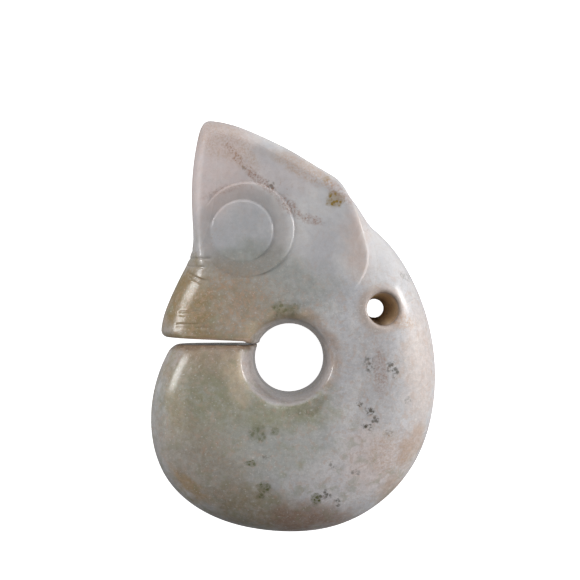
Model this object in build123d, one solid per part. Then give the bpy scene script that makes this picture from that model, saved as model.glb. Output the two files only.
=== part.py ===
from build123d import *
import os
from math import asin, atan2, cos, degrees, radians, sin, sqrt

# A coiled jade ornament, carved from one stone: a ring-shaped body, almost closed by a slit,
# with a large animal head. It lies on its flank: X is right, Y is up along the head, and Z is
# the thickness. It is modelled round the centre of its central hole, and moved at the end so
# that the origin is the middle of the bottom of its box.

# Overall sizes, in millimetres
height = 154.0              # along Y, from the belly to the tips of the ears
thickness = 43.0            # along Z, over the two flanks

# Central hole, drilled from both flanks, so it is narrowest halfway
hole_radius = 12.75
hole_flare = 3.0            # how much wider its wall is at the flank
lip_radius = 3.2            # rounding where its wall meets the flank

# Slit between the belly and the snout
slit_start = 5.1            # the belly's face of the slit, above the centre of the hole
slit_gap = 1.35             # at the central hole
slit_spread = 1.35          # how much wider it is at the mouth
mouth_corner = 5.0          # rounding of the two corners at the mouth

# Suspension hole in the nape, drilled from both flanks with a leaning drill
cord_hole_radius = 3.35
cord_hole_land = 4.0        # length of its straight middle
funnel_radius = 6.3         # radius of each funnel near the flank
funnel_lean = 2.9           # how far the funnel's mouth lies to the right of its middle
dish_radius = 8.8           # shallow worn dish round each funnel
dish_depth = 1.2
dish_tilt = 14.0            # its mouth follows the falling flank, in degrees

# Carved lines and steps
carve_depth = 0.7           # depth of the engraved lines
line_width = 0.9
eye_radius = 11.0           # raised disc of the eye
eye_rim_radius = 16.9       # raised disc round it
ear_groove_radius = 5.5     # round groove between the two ears
ear_groove_depth = 2.4

half = thickness / 2

# Places on the head and nape, as shares of the height, right of and above the hole's centre
cord_hole_place = (0.2079, 0.1198)
eye_place = (-0.1117, 0.3045)
eye_rim_place = (-0.1007, 0.3081)
cheek_edge = ((0.184, 0.365), (0.1935, 0.255), (0.136, 0.146), (0.120, 0.020))
ear_line = ((-0.186, 0.589), (0.010, 0.497), (0.170, 0.372))

# The form in sections round the central hole, anticlockwise from belly to snout.
# turn: direction of the section's outer end, in degrees about the hole.
# lag: how far its inner end lags behind, as a share of the lag at the nearer face of the slit.
# reach: distance of the outer end from the hole's centre, as a share of the height.
# crest: half thickness where the rounded edge begins, as a share of the whole.
# shoulder: length of the rounded edge, as a share of the section's length.
columns = ("turn", "lag", "reach", "crest", "shoulder")
rows = (
    (179.5, 0.68, 0.3000, 0.97, 0.52),
    (190.0, 0.24, 0.3277, 1.00, 0.52),
    (205.0, 0.06, 0.3703, 1.00, 0.52),
    (225.0, 0.00, 0.4184, 1.00, 0.52),
    (245.0, 0.00, 0.4277, 1.00, 0.52),
    (265.0, 0.00, 0.4234, 1.00, 0.52),
    (285.0, 0.00, 0.4243, 1.00, 0.52),
    (305.0, 0.00, 0.4136, 1.00, 0.52),
    (325.0, 0.00, 0.3919, 1.00, 0.52),
    (345.0, 0.00, 0.3664, 1.00, 0.52),
    (365.0, 0.00, 0.3516, 1.00, 0.51),
    (385.0, 0.00, 0.3494, 0.99, 0.48),
    (402.0, 0.00, 0.3605, 0.98, 0.40),
    (414.0, 0.00, 0.3718, 0.97, 0.30),
    (420.0, 0.00, 0.3795, 0.96, 0.24),
    (424.0, 0.00, 0.3955, 0.95, 0.18),
    (432.0, 0.00, 0.4314, 0.92, 0.13),
    (441.0, 0.00, 0.4655, 0.87, 0.10),
    (450.0, 0.00, 0.5021, 0.81, 0.09),
    (458.0, 0.00, 0.5465, 0.73, 0.09),
    (464.0, 0.00, 0.5853, 0.64, 0.09),
    (467.3, 0.00, 0.6025, 0.57, 0.09),
    (469.7, 0.01, 0.6025, 0.55, 0.10),
    (473.0, 0.05, 0.5660, 0.58, 0.13),
    (477.5, 0.09, 0.5065, 0.63, 0.17),
    (483.0, 0.14, 0.4345, 0.67, 0.19),
    (489.5, 0.21, 0.3640, 0.71, 0.20),
    (495.0, 0.28, 0.3420, 0.73, 0.21),
    (502.0, 0.42, 0.3301, 0.75, 0.23),
    (510.0, 0.60, 0.3239, 0.78, 0.25),
    (518.0, 0.79, 0.3216, 0.80, 0.26),
    (525.0, 0.93, 0.3200, 0.80, 0.27),
)
belly_reach, belly_crest, belly_shoulder = 0.2845, 0.93, 0.50
snout_reach, snout_crest, snout_shoulder = 0.3159, 0.80, 0.27

# The lower neck behind the cheek, in the same columns. It dips below the sections above from
# the suspension hole to the ears, and stands out past their outer edge.
neck_rows = (
    (335.0, 0.00, 0.3850, 1.02, 0.52),
    (355.0, 0.00, 0.3640, 1.02, 0.52),
    (375.0, 0.00, 0.3540, 1.01, 0.52),
    (390.0, 0.00, 0.3560, 0.97, 0.48),
    (402.0, 0.00, 0.3650, 0.94, 0.44),
    (414.0, 0.00, 0.3770, 0.92, 0.42),
    (424.0, 0.00, 0.3960, 0.91, 0.41),
    (436.0, 0.00, 0.4300, 0.90, 0.40),
)

# Wrinkles that wrap across the snout, as shares of the height from the hole's centre.
# start: how far left the line begins, outside the outline; end: how far left it ends.
# up: its height at the start; rise: how much higher it is at its end.
wrinkle_columns = ("start", "end", "up", "rise")
wrinkle_rows = (
    (0.250, 0.207, 0.3078, 0.000),
    (0.250, 0.203, 0.2864, 0.000),
    (0.255, 0.196, 0.2617, -0.002),
    (0.260, 0.183, 0.2409, -0.002),
    (0.265, 0.197, 0.2214, -0.003),
    (0.265, 0.199, 0.2105, -0.026),
    (0.265, 0.199, 0.2030, -0.026),
    (0.330, 0.197, 0.1117, 0.001),
    (0.330, 0.197, 0.1045, 0.001),
    (0.340, 0.200, 0.0821, 0.000),
    (0.340, 0.180, 0.0747, 0.000),
)


def place(shares):
    return Vector(shares[0] * height, shares[1] * height)


def polar(radius, turn):
    return Vector(radius * cos(radians(turn)), radius * sin(radians(turn)))


def left_turn(rise, radius):
    """How far above due left, in degrees, a circle's point lies at that height."""
    return degrees(asin(rise / radius))


def named_rows(table):
    """A table's rows by their columns' names, each with its inner end straight behind."""
    named = [dict(zip(columns, row)) for row in table]
    for row in named:
        row["hole_turn"] = row["turn"]
    return named


def form_rows():
    """All sections as named values, with the two faces of the slit at the ends."""
    slit_end = slit_start + slit_gap
    belly_turn = 180 - left_turn(slit_start, belly_reach * height)
    belly_lag = belly_turn - 180 + left_turn(slit_start, hole_radius)
    snout_turn = 540 - left_turn(slit_end + slit_spread, snout_reach * height)
    snout_lag = snout_turn - 540 + left_turn(slit_end, hole_radius)
    ends = ((belly_turn, 1.0, belly_reach, belly_crest, belly_shoulder),
            (snout_turn, 1.0, snout_reach, snout_crest, snout_shoulder))
    table = named_rows((ends[0], *rows, ends[1]))
    for row in table:
        lag = belly_lag if row["turn"] < 360 else snout_lag
        row["hole_turn"] = row["turn"] - row["lag"] * lag
    return table


def tangent_pair(start, start_dir, end, end_dir):
    """Two arcs, tangent to each other, from start to end with the given directions."""
    chord, both = end - start, start_dir + end_dir
    spread = 2 * (1 - start_dir.dot(end_dir))
    lean = chord.dot(both)
    pull = (sqrt(lean**2 + spread * chord.dot(chord)) - lean) / spread
    first, last = start + start_dir * pull, end - end_dir * pull
    middle = (first + last) / 2
    return (TangentArc(start, middle, tangent=start_dir),
            TangentArc(middle, end, tangent=last - first))


def section_wire(row, sink=0.0):
    """One closed section, from the hole's wall to the outer edge, sunk below the surface."""
    inner = polar(hole_radius, row["hole_turn"])
    outer = polar(row["reach"] * height - sink, row["turn"])
    along = (outer - inner).normalized()
    length = (outer - inner).length
    corner = Vector(hole_flare, half - sink)
    crest = Vector(length * (1 - row["shoulder"]), row["crest"] * half - sink)
    wall_dir = corner.normalized()
    flank_dir = (crest - corner).normalized()
    turn = wall_dir.dot(flank_dir)
    cut = lip_radius * sqrt((1 - turn) / (1 + turn))
    lip_start, lip_end = corner - wall_dir * cut, corner + flank_dir * cut
    start, end = Vector(0, 0), Vector(length, 0)
    upper = [
        Line(start, lip_start),
        TangentArc(lip_start, lip_end, tangent=wall_dir),
        Line(lip_end, crest),
        *tangent_pair(crest, flank_dir, end, Vector(0, -1)),
    ]
    lower = [edge.mirror(Plane.XZ) for edge in reversed(upper)]
    plane = Plane(origin=inner, x_dir=along, z_dir=along.cross(Vector(0, 0, 1)))
    return plane.from_local_coords(Wire(upper + lower))


def coil(sink=0.0):
    """The whole ring, from one face of the slit round to the other."""
    return Solid.make_loft([section_wire(row, sink) for row in form_rows()])


def through(face):
    """A straight tool from below one flank to above the other."""
    return extrude(face, amount=thickness, both=True)


def eye_lines():
    """The two rings that step down round each eye."""
    tools = []
    for centre, radius in ((eye_place, eye_radius), (eye_rim_place, eye_rim_radius)):
        ring = Circle(radius + line_width / 2) - Circle(radius - line_width / 2)
        tools.append(through(Pos(place(centre)) * ring))
    return tools


def wrinkle_lines():
    tools = []
    for values in wrinkle_rows:
        row = dict(zip(wrinkle_columns, values))
        start = place((-row["start"], row["up"]))
        end = place((-row["end"], row["up"] + row["rise"]))
        line = end - start
        slope = degrees(asin(line.Y / line.length))
        strip = Pos((start + end) / 2) * Rot(0, 0, slope) * Rectangle(line.length, line_width)
        tools.append(through(strip))
    return tools


def neck_recess():
    """What is taken off behind the cheek's edge, down to the lower neck, on both flanks."""
    top, middle, bottom, end = (place(shares) for shares in cheek_edge)
    right = Vector(height / 2, 0)
    outline = [
        ThreePointArc(top, middle, bottom),
        Polyline(bottom, end, end + right, top + right, top),
    ]
    neck = Solid.make_loft([section_wire(row) for row in named_rows(neck_rows)])
    return through(make_face(outline)) - neck


def ear_groove():
    """A round groove between the ears, fading out at the back of the head."""
    centre_out = ear_groove_radius - ear_groove_depth
    tip, middle, back = (place(shares) for shares in ear_line)
    outward = Vector(tip.Y - back.Y, back.X - tip.X).normalized()
    path = ThreePointArc(tip + outward * centre_out, middle + outward * centre_out,
                         back + outward * ear_groove_radius)
    start = path.position_at(0)
    profile = Plane(origin=start, z_dir=path.tangent_at(0)) * Circle(ear_groove_radius)
    return sweep(profile, path)


def cord_hole():
    """Straight middle, with a leaning funnel and a tilted dish at each flank."""
    centre = place(cord_hole_place)
    outward = degrees(atan2(centre.Y, centre.X))
    mouth = centre + Vector(funnel_lean, 0, half - dish_depth)
    waist = Pos(centre + Vector(0, 0, cord_hole_land / 2)) * Circle(cord_hole_radius)
    funnel = loft([waist, Pos(mouth) * Circle(funnel_radius)])
    funnel += Pos(mouth) * extrude(Circle(funnel_radius), amount=half)
    rims = [Pos(0, 0, level) * Circle(radius) for level, radius in
            ((-dish_depth, funnel_radius - dish_depth), (dish_depth, dish_radius))]
    above = extrude(rims[1], amount=half)
    dish = Pos(mouth) * Rot(0, 0, outward) * Rot(0, dish_tilt, 0) * (loft(rims) + above)
    land = Pos(centre) * Cylinder(cord_hole_radius, cord_hole_land)
    upper = funnel + dish
    return land + upper + mirror(upper, about=Plane.XY)


def mouth_corners():
    """What rounds the two corners of the slit's mouth, seen from the flank."""
    table = form_rows()
    tools = []
    for end_row, next_row in ((table[0], table[1]), (table[-1], table[-2])):
        inner = polar(hole_radius, end_row["hole_turn"])
        corner = polar(end_row["reach"] * height, end_row["turn"])
        along_slit = (inner - corner).normalized()
        along_edge = (polar(next_row["reach"] * height, next_row["turn"]) - corner).normalized()
        turn = along_slit.dot(along_edge)
        cut = mouth_corner * sqrt((1 + turn) / (1 - turn))
        on_slit, on_edge = corner + along_slit * cut, corner + along_edge * cut
        out, past = -along_slit * mouth_corner, -along_edge * slit_gap
        outline = [
            TangentArc(on_slit, on_edge, tangent=-along_slit),
            Polyline(on_edge, on_edge + out, corner + out + past, on_slit + past, on_slit),
        ]
        tools.append(through(make_face(outline)))
    return tools


body = coil()
lines = Part() + eye_lines() + wrinkle_lines()
tools = [lines - coil(carve_depth), neck_recess(), ear_groove(), *mouth_corners(), cord_hole()]
for tool in tools:
    body = body - tool
box = body.bounding_box()
body = Pos(-box.center().X, -box.center().Y, -box.min.Z) * body
os.makedirs("parts", exist_ok=True)
export_step(body, "parts/pig_dragon.step")
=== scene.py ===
from functools import reduce
from math import cos, degrees, hypot, radians, sin

import bpy
import numpy as np
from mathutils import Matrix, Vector


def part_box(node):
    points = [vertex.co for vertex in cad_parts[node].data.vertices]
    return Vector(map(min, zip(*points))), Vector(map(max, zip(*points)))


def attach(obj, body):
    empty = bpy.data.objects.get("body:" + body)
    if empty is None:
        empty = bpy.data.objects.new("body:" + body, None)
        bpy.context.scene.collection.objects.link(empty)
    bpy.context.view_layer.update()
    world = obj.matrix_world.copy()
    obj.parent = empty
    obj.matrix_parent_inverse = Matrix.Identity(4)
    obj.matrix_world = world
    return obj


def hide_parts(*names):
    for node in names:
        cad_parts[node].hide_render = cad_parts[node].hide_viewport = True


# The jade pig dragon lies on its flank. Its stone is one dense mesh, pulled onto the same
# sections round the central hole as the solid it stands for, with the carving on top.
# Lengths of the form are in millimetres from the centre of the central hole, halfway
# through the thickness; the mesh is turned into metres at the end.

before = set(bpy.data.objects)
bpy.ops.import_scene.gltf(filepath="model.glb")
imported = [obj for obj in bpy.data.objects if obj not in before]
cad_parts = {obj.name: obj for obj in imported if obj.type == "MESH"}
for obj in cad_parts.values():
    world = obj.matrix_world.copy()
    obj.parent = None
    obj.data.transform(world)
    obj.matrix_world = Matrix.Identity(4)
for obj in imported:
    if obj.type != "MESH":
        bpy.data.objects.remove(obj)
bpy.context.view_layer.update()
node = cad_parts["pig_dragon"]
node_low, node_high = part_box("pig_dragon")

MM = 0.001
height = 154.0  # from the belly to the tips of the ears
thickness = 43.0  # over the two flanks
half = thickness / 2
hole_centre = Vector((-1.59, -11.601, (node_low.z + node_high.z) / 2 / MM))

# Central hole and slit
hole_radius = 12.75
hole_flare = 1.0
lip_radius = 1.5
hole_cone_depth = 8.0  # how deep the ground cone round the hole reaches
hole_cone_start = 0.6  # share of the hole's flare that the cone starts from
hole_cone_radii = (17.0, 15.9)
hole_cone_shift = (-1.0, -0.4)
hole_cone_edge = 1.9
slit_start = 5.1
slit_gap = 1.35
slit_spread = 1.35
slit_pinch = 0.85  # how much narrower the slit gets just before the hole
slit_pinch_fade = (1.5, 4.5)  # how far from the hole's wall it widens again
slit_edge = 1.0  # rounding of the slit's edges
slit_edge_below = 2.2  # the same along the belly's side
slit_edge_inside = 0.3  # the same where the slit meets the hole's wall
slit_edge_fade = (9.0, 3.0)  # depths between which one turns to the other
mouth_corner = 2.6  # rounding at the mouth
mouth_fade = (0.24, 0.285)  # shares of the height between which it grows

# Suspension hole
cord_hole_radius = 3.35
cord_hole_land = 4.0
cord_hole_bend = 1.0  # rounding between the straight middle and the funnel
funnel_radius = 6.3
funnel_lean = 2.9
funnel_edge = 0.9
dish_radius = 8.8
dish_depth = 1.6
dish_tilt = 14.0
dish_edge = 0.9

# Ears and cheek
ear_groove_radius = 5.5
ear_groove_depth = 2.4
ear_groove_edge = 1.2
cheek_edge_rounding = 0.6
cheek_fade = (19.0, 33.0)  # heights between which the step behind the cheek grows
cheek_fade_depth = 1.4
cheek_top_fade = (-2.0, 4.0)  # heights over its top end between which the step runs out
cheek_top_depth = 3 * cheek_fade_depth

# Carving on the flanks
eye_radius = 11.3
eye_rim_radius = 17.3
eye_front_fade = (2.5, 0.5)  # how far before the eye's front the carving starts
eye_turns = (-45, 160)  # degrees between which the eye's ledge is crisp
eye_rim_turns = (-60, 160)
ledge_width = 0.7  # how far each ledge round the eye slopes outwards
ledge_drop = 0.8
ledge_fade = 3.2  # how far out the ground rises again
ledge_ends = (25, 15)  # over how many degrees its two ends run out
ledge_kept = 0.12  # share of its depth that stays beyond them
wrinkle_width = 0.5
wrinkle_depth = 0.6
wrinkle_bulge = 0.1  # how far the stone swells beside a wrinkle
wrinkle_bulge_width = 3.0  # how many times wider than the wrinkle that is
wrinkle_bend = -0.26  # share of the height where a wrinkle starts to rise or fall
wrinkle_fade = 0.02  # share of the height over which its end runs out

# Slow waves of the hand-ground surface, in millimetres for each radian: over the flank, from
# flank to flank, and along the sway that keeps them from lining up
uneven = 0.1  # how far the surface wanders
wave_lengths = (6.1, 5.3, 9.7)
wave_through = (11.0, -9.0, 6.5)
sway_lengths = (8.3, 7.7)
sways = (1.3, 1.2)  # radians
wave_starts = (0, 2, 1)  # radians

# Places as shares of the height, right of and above the hole's centre
cord_hole_place = (0.2079, 0.1198)
eye_place = (-0.1117, 0.3045)
eye_rim_place = (-0.1007, 0.3081)
cheek_edge = ((0.1357, 0.4026), (0.1701, 0.3299), (0.1877, 0.2532), (0.168, 0.1839),
              (0.1318, 0.1477))
ear_line = ((-0.186, 0.589), (0.01, 0.497), (0.17, 0.372))

# Sections round the hole, as in the solid: direction of the outer end in degrees, lag of the
# inner end, reach as a share of the height, crest as a share of half the thickness, and the
# share of the section that its rounded edge takes.
rows = (
    (179.5, 0.68, 0.3, 0.97, 0.52),
    (190, 0.24, 0.3277, 1, 0.52),
    (205, 0.06, 0.3703, 1, 0.52),
    (225, 0, 0.4184, 1, 0.52),
    (245, 0, 0.4277, 1, 0.52),
    (265, 0, 0.4234, 1, 0.52),
    (285, 0, 0.4243, 1, 0.52),
    (305, 0, 0.4136, 1, 0.52),
    (325, 0, 0.3919, 1, 0.52),
    (345, 0, 0.3664, 1, 0.52),
    (365, 0, 0.352, 1, 0.51),
    (385, 0, 0.3514, 0.99, 0.48),
    (402, 0, 0.3632, 0.98, 0.38),
    (414, 0, 0.3718, 0.97, 0.24),
    (420, 0, 0.3795, 0.96, 0.16),
    (424, 0, 0.3955, 0.95, 0.12),
    (432, 0, 0.43, 0.92, 0.09),
    (441, 0, 0.4568, 0.87, 0.08),
    (450, 0, 0.5021, 0.81, 0.09),
    (458, 0, 0.5465, 0.73, 0.09),
    (464, 0, 0.5853, 0.64, 0.09),
    (467.3, 0, 0.6035, 0.57, 0.09),
    (469.7, 0.01, 0.608, 0.55, 0.1),
    (473, 0.05, 0.5722, 0.58, 0.12),
    (477.5, 0.09, 0.5078, 0.63, 0.14),
    (483, 0.14, 0.4335, 0.67, 0.15),
    (489.5, 0.21, 0.3665, 0.71, 0.17),
    (495, 0.28, 0.342, 0.74, 0.26),
    (502, 0.42, 0.3301, 0.79, 0.38),
    (510, 0.6, 0.3239, 0.83, 0.45),
    (518, 0.79, 0.3216, 0.86, 0.47),
    (525, 0.93, 0.32, 0.86, 0.47),
)
belly_end = (0.2845, 0.93, 0.5)
snout_end = (0.3159, 0.86, 0.47)
neck_rows = (
    (335, 0, 0.385, 1.02, 0.52),
    (355, 0, 0.364, 1.02, 0.52),
    (375, 0, 0.354, 1.01, 0.52),
    (390, 0, 0.356, 0.97, 0.48),
    (402, 0, 0.365, 0.94, 0.44),
    (414, 0, 0.377, 0.92, 0.42),
    (424, 0, 0.399, 0.91, 0.41),
    (436, 0, 0.452, 0.9, 0.4),
)

# Wrinkles across the snout: how far left each starts and ends, its height at its start, how
# much higher it is at its end, all as shares of the height, and its strength.
wrinkle_columns = ("start", "end", "up", "rise", "strength")
wrinkle_rows = (
    (0.4, 0.236, 0.3078, 0, 0.5),
    (0.4, 0.236, 0.2864, 0, 0.5),
    (0.4, 0.232, 0.2617, -0.002, 0.5),
    (0.24, 0.188, 0.2409, -0.002, 0.6),
    (0.242, 0.2, 0.2214, -0.003, 0.7),
    (0.238, 0.197, 0.2085, -0.022, 0.8),
    (0.238, 0.197, 0.201, -0.022, 0.7),
    (0.258, 0.207, 0.1117, 0.001, 0.55),
    (0.258, 0.207, 0.1045, 0.001, 0.45),
    (0.264, 0.21, 0.0821, 0, 0.55),
    (0.264, 0.195, 0.0747, 0, 0.45),
)


# Helpers for the form

def named(columns, rows):
    """A table's rows, with each value under its column's name."""
    return [dict(zip(columns, values)) for values in rows]


def smooth(low, high, value):
    """0 below low, 1 above high, and a soft turn between them."""
    share = np.clip((value - low) / (high - low), 0, 1)
    return share * share * (3 - 2 * share)


def spline(knots, values, at):
    """A natural cubic spline through a column of a table."""
    gaps, count = np.diff(knots), len(knots)
    slopes = np.diff(values) / gaps
    matrix, right = np.eye(count), np.zeros(count)
    for i in range(1, count - 1):
        matrix[i, i - 1:i + 2] = gaps[i - 1], 2 * (gaps[i - 1] + gaps[i]), gaps[i]
        right[i] = 6 * (slopes[i] - slopes[i - 1])
    bend = np.linalg.solve(matrix, right)
    i = np.clip(np.searchsorted(knots, at) - 1, 0, count - 2)
    gap, before, after = gaps[i], at - knots[i], knots[i + 1] - at
    return ((bend[i] * after**3 + bend[i + 1] * before**3) / (6 * gap)
            + (values[i] / gap - bend[i] * gap / 6) * after
            + (values[i + 1] / gap - bend[i + 1] * gap / 6) * before)


def meet(a, b, radius):
    """Distance to what two forms share, with their common edge rounded."""
    both = np.hypot(np.maximum(a + radius, 0), np.maximum(b + radius, 0))
    return np.minimum(np.maximum(a, b), -radius) + both


def join(a, b, radius):
    """Distance to two forms together, with the corner between them filled."""
    return -meet(-a, -b, radius)


def circle_through(first, second, third):
    """Centre and radius of the circle through three points."""
    matrix = 2 * np.array([np.subtract(second, first), np.subtract(third, first)])
    sizes = [np.dot(point, point) for point in (first, second, third)]
    centre = np.linalg.solve(matrix, [sizes[1] - sizes[0], sizes[2] - sizes[0]])
    return centre, hypot(*(np.array(first) - centre))


def place(shares):
    return np.array(shares) * height


def in_metres(points):
    """Places of the form as the scene measures them."""
    return (points + np.array(hole_centre)) * MM


def show(name, data):
    """A new object in the scene."""
    made = bpy.data.objects.new(name, data)
    bpy.context.scene.collection.objects.link(made)
    return made


def left_turn(rise, radius):
    """Degrees above the line to the left at which a circle is that high."""
    return degrees(np.arcsin(rise / radius))


class Form:
    """A ring of sections, read smoothly between the rows of its table."""

    close_rows = 4000  # how many close rows the smooth table has
    last_rows = 1.001  # how many rows before the end the reading stops, so that one follows
    halvings = 14  # how often the search for a section halves its range
    search_room = (1, 2)  # degrees by which that range starts wider at its low and high end

    def __init__(self, table, lags):
        turns, *columns = np.array(table).T
        self.start, self.end = turns[0], turns[-1]
        turn = np.linspace(self.start, self.end, self.close_rows)
        lag, reach, crest, shoulder = (spline(turns, column, turn) for column in columns)
        self.lag = lag.clip(0, 1) * np.where(turn < 360, *lags)
        self.widest_lag = max(lags)
        inner, outer, reach = np.radians(turn - self.lag), np.radians(turn), reach * height
        self.ends = np.stack([hole_radius * np.cos(inner), hole_radius * np.sin(inner),
                              reach * np.cos(outer), reach * np.sin(outer)])
        self.rounding = np.stack([crest * half, shoulder])

    def read(self, values, turn):
        """The columns at that turn, between the nearest two of the close rows."""
        share = (turn - self.start) / (self.end - self.start) * (values.shape[-1] - 1)
        share = share.clip(0, values.shape[-1] - self.last_rows)
        row = share.astype(int)
        share = share - row
        return values[..., row] * (1 - share) + values[..., row + 1] * share

    def section_of(self, x, y):
        """The turn of the section that each point lies in."""
        own = np.degrees(np.arctan2(y, x))
        below = (x < 0) & (y > 0) & (y < slit_middle(x))
        own = np.where(below, own, own + 360)
        leaning = self.read(self.lag, own) > 0
        leaning |= self.read(self.lag, own + self.widest_lag) > 0
        if leaning.any():
            px, py = x[leaning], y[leaning]
            low = own[leaning] - self.search_room[0]
            high = own[leaning] + self.widest_lag + self.search_room[1]
            for _ in range(self.halvings):
                middle = (low + high) / 2
                ix, iy, ox, oy = self.read(self.ends, middle)
                ahead = (ox - ix) * (py - iy) - (oy - iy) * (px - ix) > 0
                low, high = np.where(ahead, middle, low), np.where(ahead, high, middle)
            own[leaning] = (low + high) / 2
        return own.clip(self.start, self.end)

    def distance(self, x, y, z):
        """Signed distance to the form, measured in the plane of the section."""
        turn = self.section_of(x, y)
        ix, iy, ox, oy = self.read(self.ends, turn)
        length = np.hypot(ox - ix, oy - iy)
        along = ((x - ix) * (ox - ix) + (y - iy) * (oy - iy)) / length
        crest, shoulder = self.read(self.rounding, turn)
        return section_distance(along, np.abs(z), length, crest, shoulder)


def section_distance(along, up, length, crest_up, shoulder):
    """Signed distance in a section: wall, flank, and the two arcs of the rounded edge."""
    wall_x, wall_y = hole_flare / hypot(hole_flare, half), half / hypot(hole_flare, half)
    crest_x = length * (1 - shoulder)
    flank_length = np.hypot(crest_x - hole_flare, crest_up - half)
    flank_x, flank_y = (crest_x - hole_flare) / flank_length, (crest_up - half) / flank_length
    lean = (length - crest_x) * flank_x - crest_up * (flank_y - 1)
    spread = 2 * (1 + flank_y)
    chord = (length - crest_x)**2 + crest_up**2
    pull = (np.sqrt(lean**2 + spread * chord) - lean) / spread
    first_x, first_y = crest_x + flank_x * pull, crest_up + flank_y * pull
    middle_x, middle_y = (first_x + length) / 2, (first_y + pull) / 2
    upper_x, upper_y = middle_x - crest_x, middle_y - crest_up
    upper_radius = (upper_x**2 + upper_y**2) / (2 * (upper_x * flank_y - upper_y * flank_x))
    lower_x = length - middle_x
    lower_radius = (lower_x**2 + middle_y**2) / (2 * lower_x)
    turn_x, turn_y = length - first_x, pull - first_y
    outside = (along - hole_flare) * -flank_y + (up - half) * flank_x
    upper = np.hypot(along - crest_x - upper_radius * flank_y,
                     up - crest_up + upper_radius * flank_x) - upper_radius
    lower = ((np.hypot(along - length + lower_radius, up) - np.abs(lower_radius))
             * np.sign(lower_radius))
    on_upper = (along - crest_x) * flank_x + (up - crest_up) * flank_y > 0
    on_lower = on_upper & ((along - middle_x) * turn_x + (up - middle_y) * turn_y > 0)
    outside = np.where(on_lower, lower, np.where(on_upper, upper, outside))
    return meet(up * wall_x - along * wall_y, outside, lip_radius)


def slit_top(x):
    """Height of the snout's face of the slit."""
    away = (-x - hole_radius) / (snout_end[0] * height - hole_radius)
    near, far = slit_pinch_fade
    pinch = slit_pinch * (1 - smooth(hole_radius + near, hole_radius + far, -x))
    return slit_start + slit_gap + slit_spread * away - pinch


def slit_middle(x):
    return (slit_start + slit_top(x)) / 2


def main_form():
    """The coil, from the belly's face of the slit round to the snout's."""
    snout_rise = slit_start + slit_gap + slit_spread
    belly_turn = 180 - left_turn(slit_start, belly_end[0] * height)
    snout_turn = 540 - left_turn(snout_rise, snout_end[0] * height)
    lags = (belly_turn - 180 + left_turn(slit_start, hole_radius),
            snout_turn - 540 + left_turn(slit_start + slit_gap, hole_radius))
    table = ((belly_turn, 1.0, *belly_end), *rows, (snout_turn, 1.0, *snout_end))
    return Form(table, lags)


coil = main_form()
neck = Form(neck_rows, (0, 0))
cheek_arcs = [circle_through(*(place(shares) for shares in three))
              for three in (cheek_edge[:3], cheek_edge[2:])]


def cheek_side(x, y):
    """How far a point lies behind the cheek's edge, towards the nape."""
    upper, lower = (np.hypot(x - centre[0], y - centre[1]) - radius
                    for centre, radius in cheek_arcs)
    behind = np.where(y > cheek_edge[2][1] * height, upper, lower)
    between = np.minimum(y - cheek_fade[0], cheek_edge[0][1] * height + cheek_top_fade[1] - y)
    return np.minimum(np.minimum(behind, between), x)


def hole_cone(x, y, z):
    """The ground cone that widens the central hole towards each flank."""
    share = (np.abs(z) - half + hole_cone_depth) / hole_cone_depth
    low = hole_radius + hole_flare * hole_cone_start
    wide, tall = (low + (size - low) * share for size in hole_cone_radii)
    away_x, away_y = x - hole_cone_shift[0] * share, y - hole_cone_shift[1] * share
    slope = hypot(1, (sum(hole_cone_radii) / 2 - low) / hole_cone_depth)
    return (np.hypot(away_x / wide, away_y / tall) - 1) * low / slope


def ear_groove_path():
    """Centre and radius of the arc that the groove between the ears follows."""
    centre_out = ear_groove_radius - ear_groove_depth
    tip, middle, back = (place(shares) for shares in ear_line)
    outward = np.array((tip[1] - back[1], back[0] - tip[0]))
    outward /= hypot(*outward)
    return circle_through(tip + outward * centre_out, middle + outward * centre_out,
                          back + outward * ear_groove_radius)


groove_centre, groove_path_radius = ear_groove_path()


def ear_groove(x, y, z):
    """The groove as a round bar along its arc, above the eyes only."""
    off_path = np.hypot(x - groove_centre[0], y - groove_centre[1]) - groove_path_radius
    groove = np.hypot(off_path, z) - ear_groove_radius
    return np.where(y > eye_place[1] * height, groove, height)


def cord_hole(x, y, z):
    """The straight middle and the leaning funnel of the suspension hole."""
    centre_x, centre_y = place(cord_hole_place)
    away_x, away_y, up = x - centre_x, y - centre_y, np.abs(z)
    land = np.hypot(away_x, away_y) - cord_hole_radius
    share = (up - cord_hole_land / 2) / (half - dish_depth - cord_hole_land / 2)
    radius = cord_hole_radius + (funnel_radius - cord_hole_radius) * share
    funnel = np.hypot(away_x - funnel_lean * share, away_y) - radius
    return join(land, funnel, cord_hole_bend)


def dish(x, y, z):
    """The shallow tilted dish that wear has left round the funnel."""
    centre_x, centre_y = place(cord_hole_place)
    outward = np.arctan2(centre_y, centre_x)
    away_x, away_y = x - centre_x - funnel_lean, y - centre_y
    up = np.abs(z) - (half - dish_depth)
    out = away_x * np.cos(outward) + away_y * np.sin(outward)
    side = away_y * np.cos(outward) - away_x * np.sin(outward)
    tilt = radians(dish_tilt)
    level = up * cos(tilt) + out * sin(tilt)
    out = out * cos(tilt) - up * sin(tilt)
    spread = dish_radius - funnel_radius + dish_depth
    rim = funnel_radius - dish_depth + (level + dish_depth) / (2 * dish_depth) * spread
    slope = 2 * dish_depth / hypot(2 * dish_depth, spread)
    return meet((np.hypot(out, side) - rim) * slope, -dish_depth - level, dish_depth)


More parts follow.
